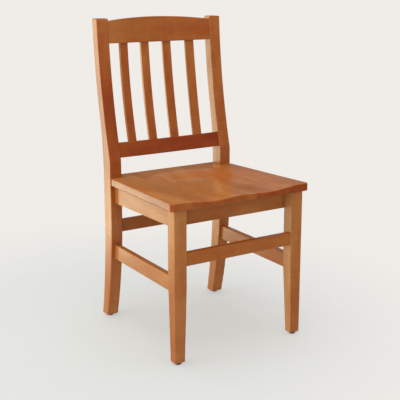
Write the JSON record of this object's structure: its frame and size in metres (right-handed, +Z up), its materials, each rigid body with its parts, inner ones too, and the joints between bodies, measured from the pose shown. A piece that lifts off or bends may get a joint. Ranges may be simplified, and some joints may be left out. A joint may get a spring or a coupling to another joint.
{
  "type": "wooden side chair",
  "caption": "Armless wooden dining chair with a saddled board seat, bowed slatted back, bent rear posts, tapered front legs and box stretchers.",
  "frame": {"origin": "on the floor under the middle of the chair's bounding box", "axes": "+Z up; the chair faces -Y; +X is to the right of someone who looks at its front"},
  "size_m": [0.4492, 0.494, 0.9063],
  "materials": {
    "upright_wood": "medium brown stain under a satin clear lacquer",
    "cross_wood": "medium brown stain under a satin clear lacquer",
    "side_wood": "medium brown stain under a satin clear lacquer",
    "seat_wood": "medium brown stain under a satin clear lacquer",
    "block_wood": "raw sawn hardwood",
    "dowel_wood": "raw turned hardwood",
    "glide_plastic": "black moulded",
    "fastener_steel": "bright zinc"
  },
  "bodies": {
    "root": {"back_post_left": "upright_wood", "back_post_right": "upright_wood", "front_leg_left": "upright_wood", "front_leg_right": "upright_wood", "back_slat_1": "upright_wood", "back_slat_2": "upright_wood", "back_slat_3": "upright_wood", "back_slat_4": "upright_wood", "crest_rail": "cross_wood", "lower_back_rail": "cross_wood", "front_apron": "cross_wood", "rear_apron": "cross_wood", "front_stretcher": "cross_wood", "rear_stretcher": "cross_wood", "left_apron": "side_wood", "right_apron": "side_wood", "left_stretcher": "side_wood", "right_stretcher": "side_wood", "seat_board_1": "seat_wood", "seat_board_2": "seat_wood", "seat_board_3": "seat_wood", "seat_board_4": "seat_wood", "seat_board_5": "seat_wood", "corner_block_front_left": "block_wood", "corner_block_front_right": "block_wood", "corner_block_rear_left": "block_wood", "corner_block_rear_right": "block_wood", "apron_dowels": "dowel_wood", "glide_front_left": "glide_plastic", "glide_front_right": "glide_plastic", "glide_rear_left": "glide_plastic", "glide_rear_right": "glide_plastic", "block_screws": "fastener_steel", "seat_screws": "fastener_steel", "glide_nails": "fastener_steel"}
  },
  "joints": []
}
